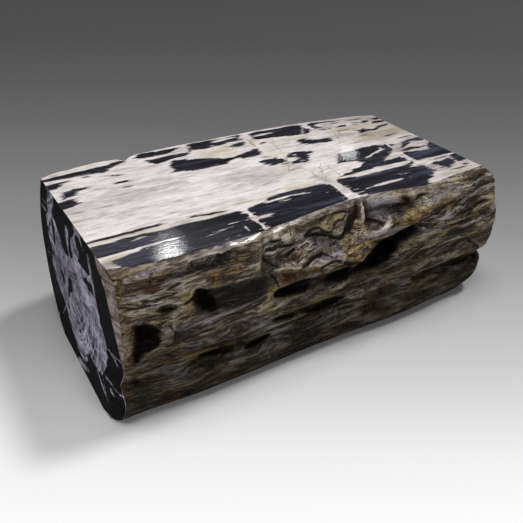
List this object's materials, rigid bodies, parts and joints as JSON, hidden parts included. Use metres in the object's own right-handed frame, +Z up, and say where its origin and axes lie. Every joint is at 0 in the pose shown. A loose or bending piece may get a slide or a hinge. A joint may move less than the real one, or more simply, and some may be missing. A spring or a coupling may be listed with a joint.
{
  "type": "petrified wood log table",
  "caption": "Polished petrified wood log with a flat top, a flat foot, one sawn end and one natural worn end, used as a low table or bench.",
  "frame": {"origin": "on the floor, under the middle of the log's bounding box", "axes": "+X along the log from its sawn end to its worn end, +Y across it towards the back flank, +Z up"},
  "size_m": [1.2757, 0.6429, 0.438],
  "materials": {
    "petrified_wood": "polished stone"
  },
  "bodies": {
    "root": {"petrified_log": "petrified_wood"}
  },
  "joints": []
}
